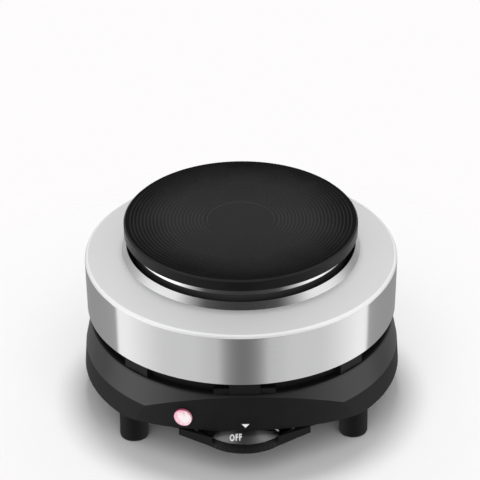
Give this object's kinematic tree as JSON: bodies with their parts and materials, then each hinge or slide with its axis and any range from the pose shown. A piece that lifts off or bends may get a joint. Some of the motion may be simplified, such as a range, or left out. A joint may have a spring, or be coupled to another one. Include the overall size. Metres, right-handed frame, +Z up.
{
  "type": "portable hot plate",
  "caption": "Small round electric hot plate: black cast plate on a satin steel drum, vented black base with feet, lit lamp and a heat dial that turns under the front.",
  "frame": {"origin": "on the table under the axis of the plate, midway between the front of the dial and the end of the cord inlet", "axes": "+Z up, -Y towards the front with the dial and lamp, +X to the right seen from the front"},
  "size_m": [0.1362, 0.143, 0.085],
  "materials": {
    "cast_plate": "black, turned with fine concentric grooves",
    "bright_trim": "polished ring",
    "shell_steel": "satin stainless steel, spun round the axis",
    "base_black": "satin black moulding",
    "cover_black": "black painted sheet",
    "foot_black": "matt black",
    "dial_black": "glossy black moulding with pale lettering",
    "lamp_lens": "translucent pale rose lens, lit",
    "lamp_housing": "off-white moulding",
    "gland_rubber": "matt black",
    "zinc_steel": "zinc plated",
    "plated_sheet": "aluminised sheet",
    "heater_sheath": "heat darkened sheath",
    "ceramic": "unglazed cream",
    "insulation": "pressed fibre",
    "brass": "plain brass",
    "wire_brown": "insulated lead",
    "wire_black": "insulated lead",
    "wire_blue": "insulated lead"
  },
  "bodies": {
    "body": {"hot_plate": "cast_plate", "trim_ring": "bright_trim", "heater_tube": "heater_sheath", "heater_ferrules": "ceramic", "insulation_pad": "insulation", "heat_pan": "plated_sheet", "tie_bolt": "zinc_steel", "upper_spacer": "zinc_steel", "heat_shield": "plated_sheet", "lower_spacer": "zinc_steel", "tie_washer": "zinc_steel", "tie_nut": "zinc_steel", "steel_shell": "shell_steel", "base_housing": "base_black", "bottom_cover": "cover_black", "foot_front_left": "foot_black", "foot_front_right": "foot_black", "foot_rear_left": "foot_black", "foot_rear_right": "foot_black", "foot_screws": "zinc_steel", "thermostat_bracket": "zinc_steel", "bracket_screws": "zinc_steel", "thermostat_bush": "brass", "bush_nut": "brass", "thermostat_body": "ceramic", "contact_leaf": "brass", "leaf_screw": "zinc_steel", "lamp_lens": "lamp_lens", "lamp_housing": "lamp_housing", "lamp_clip": "zinc_steel", "cord_gland": "gland_rubber", "gland_nut": "foot_black", "terminal_block": "ceramic", "terminal_screws": "brass", "wire_live": "wire_brown", "wire_load": "wire_black", "wire_neutral": "wire_blue", "wire_lamp_supply": "wire_black", "wire_lamp_return": "wire_blue"},
    "dial": {"control_dial": "dial_black", "dial_screw": "zinc_steel", "thermostat_shaft": "brass", "shaft_cam": "ceramic"}
  },
  "joints": [
    {"name": "dial_turn", "type": "hinge", "parent": "body", "child": "dial", "pos_m": [0, -0.0505, 0.0165], "axis": [0, 0, -1], "range_deg": [0, 270]}
  ]
}
